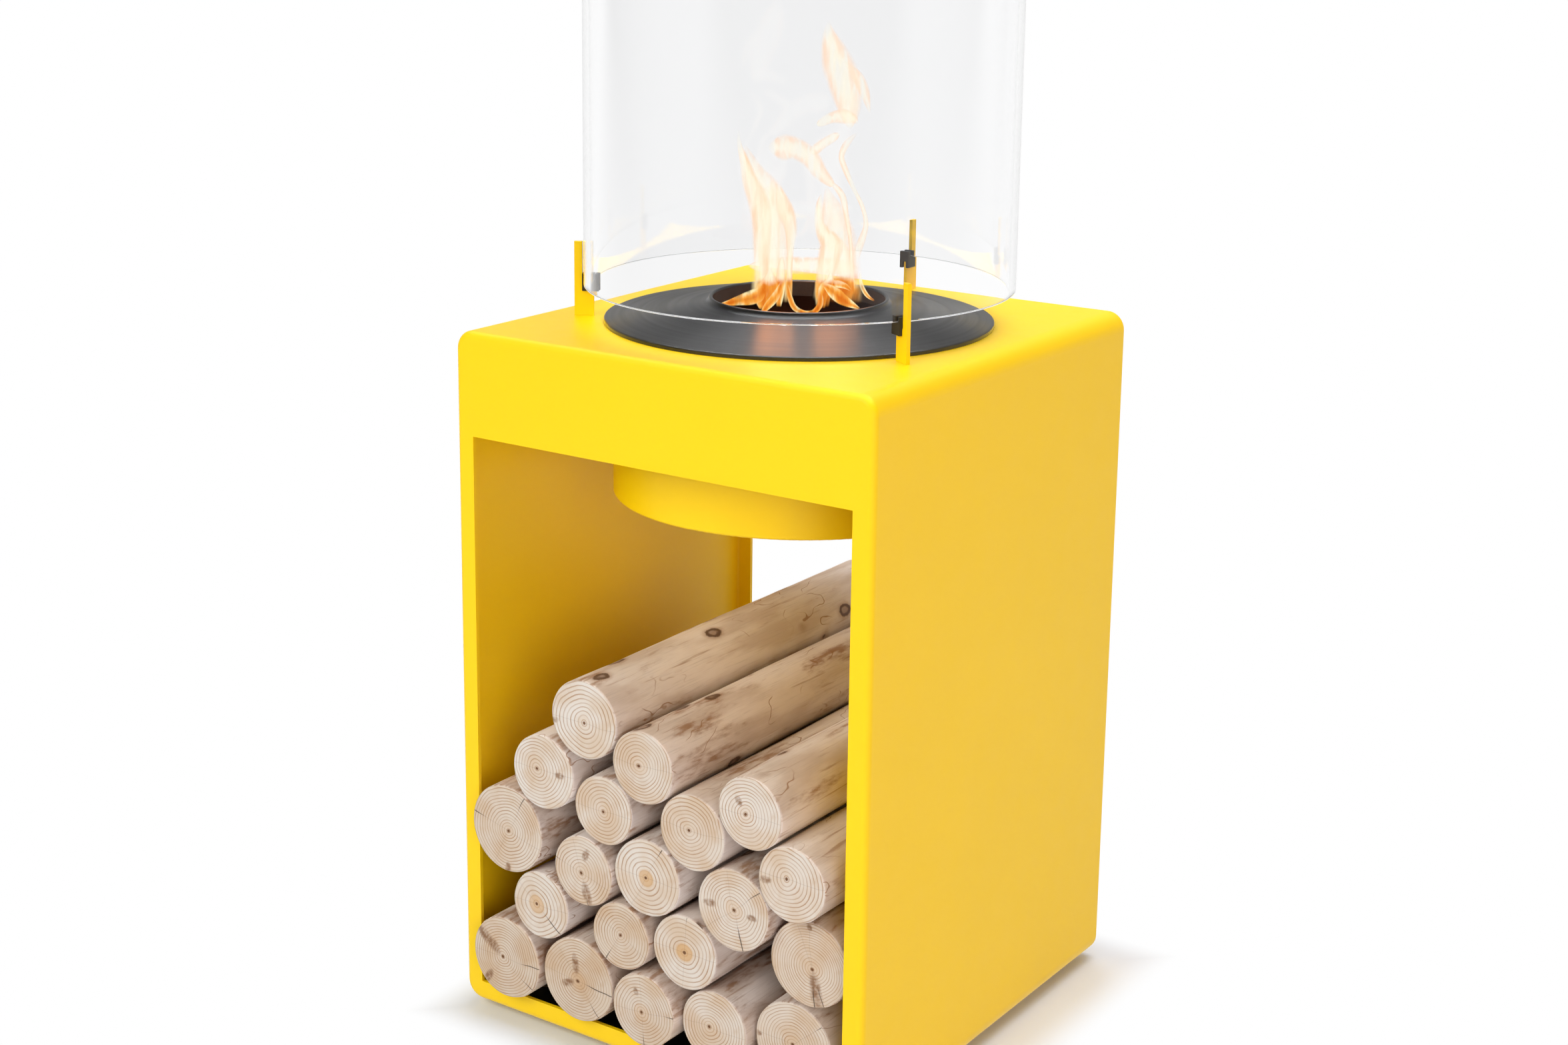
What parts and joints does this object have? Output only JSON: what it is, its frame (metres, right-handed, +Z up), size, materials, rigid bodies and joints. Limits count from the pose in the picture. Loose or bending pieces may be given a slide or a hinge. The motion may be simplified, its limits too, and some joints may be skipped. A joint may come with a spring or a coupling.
{
  "type": "fireplace",
  "caption": "Free-standing square fireplace: yellow steel housing with a log store below, a round lift-out burner on top and a clear glass cylinder screen on posts.",
  "frame": {"origin": "on the floor under the middle of the housing", "axes": "+Z up, front with the log store's main opening faces -Y, +X to the right seen from the front"},
  "size_m": [0.36, 0.38, 0.9605],
  "materials": {
    "yellow_powder_coat": "satin powder coat",
    "dark_coated_steel": "satin brushed",
    "stainless_steel": "brushed",
    "zinc_steel": "zinc plated",
    "black_rubber": "matte",
    "black_plastic": "matte moulded",
    "ceramic_fibre": "felted",
    "clear_glass": "polished",
    "peeled_pine": "debarked, sawn ends"
  },
  "bodies": {
    "housing": {"housing_shell": "yellow_powder_coat", "burner_well": "yellow_powder_coat", "well_stud_set": "zinc_steel", "well_nut_set": "zinc_steel", "foot_nut_set": "zinc_steel", "floor_mat": "black_rubber", "foot_front_left": "black_plastic", "foot_front_right": "black_plastic", "foot_rear_left": "black_plastic", "foot_rear_right": "black_plastic", "glass_post_1": "yellow_powder_coat", "glass_post_2": "yellow_powder_coat", "glass_post_3": "yellow_powder_coat", "glass_saddle_1": "black_rubber", "glass_saddle_2": "black_rubber", "glass_saddle_3": "black_rubber"},
    "screen": {"glass_screen": "clear_glass"},
    "burner": {"burner_top_plate": "dark_coated_steel", "burner_tank": "stainless_steel", "absorber_pad": "ceramic_fibre", "perforated_cover": "stainless_steel"},
    "log_01": {"log_01": "peeled_pine"},
    "log_02": {"log_02": "peeled_pine"},
    "log_03": {"log_03": "peeled_pine"},
    "log_04": {"log_04": "peeled_pine"},
    "log_05": {"log_05": "peeled_pine"},
    "log_06": {"log_06": "peeled_pine"},
    "log_07": {"log_07": "peeled_pine"},
    "log_08": {"log_08": "peeled_pine"},
    "log_09": {"log_09": "peeled_pine"},
    "log_10": {"log_10": "peeled_pine"},
    "log_11": {"log_11": "peeled_pine"},
    "log_12": {"log_12": "peeled_pine"},
    "log_13": {"log_13": "peeled_pine"},
    "log_14": {"log_14": "peeled_pine"},
    "log_15": {"log_15": "peeled_pine"},
    "log_16": {"log_16": "peeled_pine"},
    "log_17": {"log_17": "peeled_pine"},
    "log_18": {"log_18": "peeled_pine"},
    "log_19": {"log_19": "peeled_pine"},
    "log_20": {"log_20": "peeled_pine"}
  },
  "joints": [
    {"name": "screen_lift", "type": "slide", "parent": "housing", "child": "screen", "axis": [0, 0, 1], "range_m": [0, 0.12]},
    {"name": "burner_lift", "type": "slide", "parent": "housing", "child": "burner", "axis": [0, 0, 1], "range_m": [0, 0.16]},
    {"name": "log_01_slide", "type": "slide", "parent": "housing", "child": "log_01", "axis": [0, -1, 0], "range_m": [0, 0.38]},
    {"name": "log_02_slide", "type": "slide", "parent": "housing", "child": "log_02", "axis": [0, -1, 0], "range_m": [0, 0.38]},
    {"name": "log_03_slide", "type": "slide", "parent": "housing", "child": "log_03", "axis": [0, -1, 0], "range_m": [0, 0.38]},
    {"name": "log_04_slide", "type": "slide", "parent": "housing", "child": "log_04", "axis": [0, -1, 0], "range_m": [0, 0.38]},
    {"name": "log_05_slide", "type": "slide", "parent": "housing", "child": "log_05", "axis": [0, -1, 0], "range_m": [0, 0.38]},
    {"name": "log_06_slide", "type": "slide", "parent": "housing", "child": "log_06", "axis": [0, -1, 0], "range_m": [0, 0.38]},
    {"name": "log_07_slide", "type": "slide", "parent": "housing", "child": "log_07", "axis": [0, -1, 0], "range_m": [0, 0.38]},
    {"name": "log_08_slide", "type": "slide", "parent": "housing", "child": "log_08", "axis": [0, -1, 0], "range_m": [0, 0.38]},
    {"name": "log_09_slide", "type": "slide", "parent": "housing", "child": "log_09", "axis": [0, -1, 0], "range_m": [0, 0.38]},
    {"name": "log_10_slide", "type": "slide", "parent": "housing", "child": "log_10", "axis": [0, -1, 0], "range_m": [0, 0.38]},
    {"name": "log_11_slide", "type": "slide", "parent": "housing", "child": "log_11", "axis": [0, -1, 0], "range_m": [0, 0.38]},
    {"name": "log_12_slide", "type": "slide", "parent": "housing", "child": "log_12", "axis": [0, -1, 0], "range_m": [0, 0.38]},
    {"name": "log_13_slide", "type": "slide", "parent": "housing", "child": "log_13", "axis": [0, -1, 0], "range_m": [0, 0.38]},
    {"name": "log_14_slide", "type": "slide", "parent": "housing", "child": "log_14", "axis": [0, -1, 0], "range_m": [0, 0.38]},
    {"name": "log_15_slide", "type": "slide", "parent": "housing", "child": "log_15", "axis": [0, -1, 0], "range_m": [0, 0.38]},
    {"name": "log_16_slide", "type": "slide", "parent": "housing", "child": "log_16", "axis": [0, -1, 0], "range_m": [0, 0.38]},
    {"name": "log_17_slide", "type": "slide", "parent": "housing", "child": "log_17", "axis": [0, -1, 0], "range_m": [0, 0.38]},
    {"name": "log_18_slide", "type": "slide", "parent": "housing", "child": "log_18", "axis": [0, -1, 0], "range_m": [0, 0.38]},
    {"name": "log_19_slide", "type": "slide", "parent": "housing", "child": "log_19", "axis": [0, -1, 0], "range_m": [0, 0.38]},
    {"name": "log_20_slide", "type": "slide", "parent": "housing", "child": "log_20", "axis": [0, -1, 0], "range_m": [0, 0.38]}
  ]
}
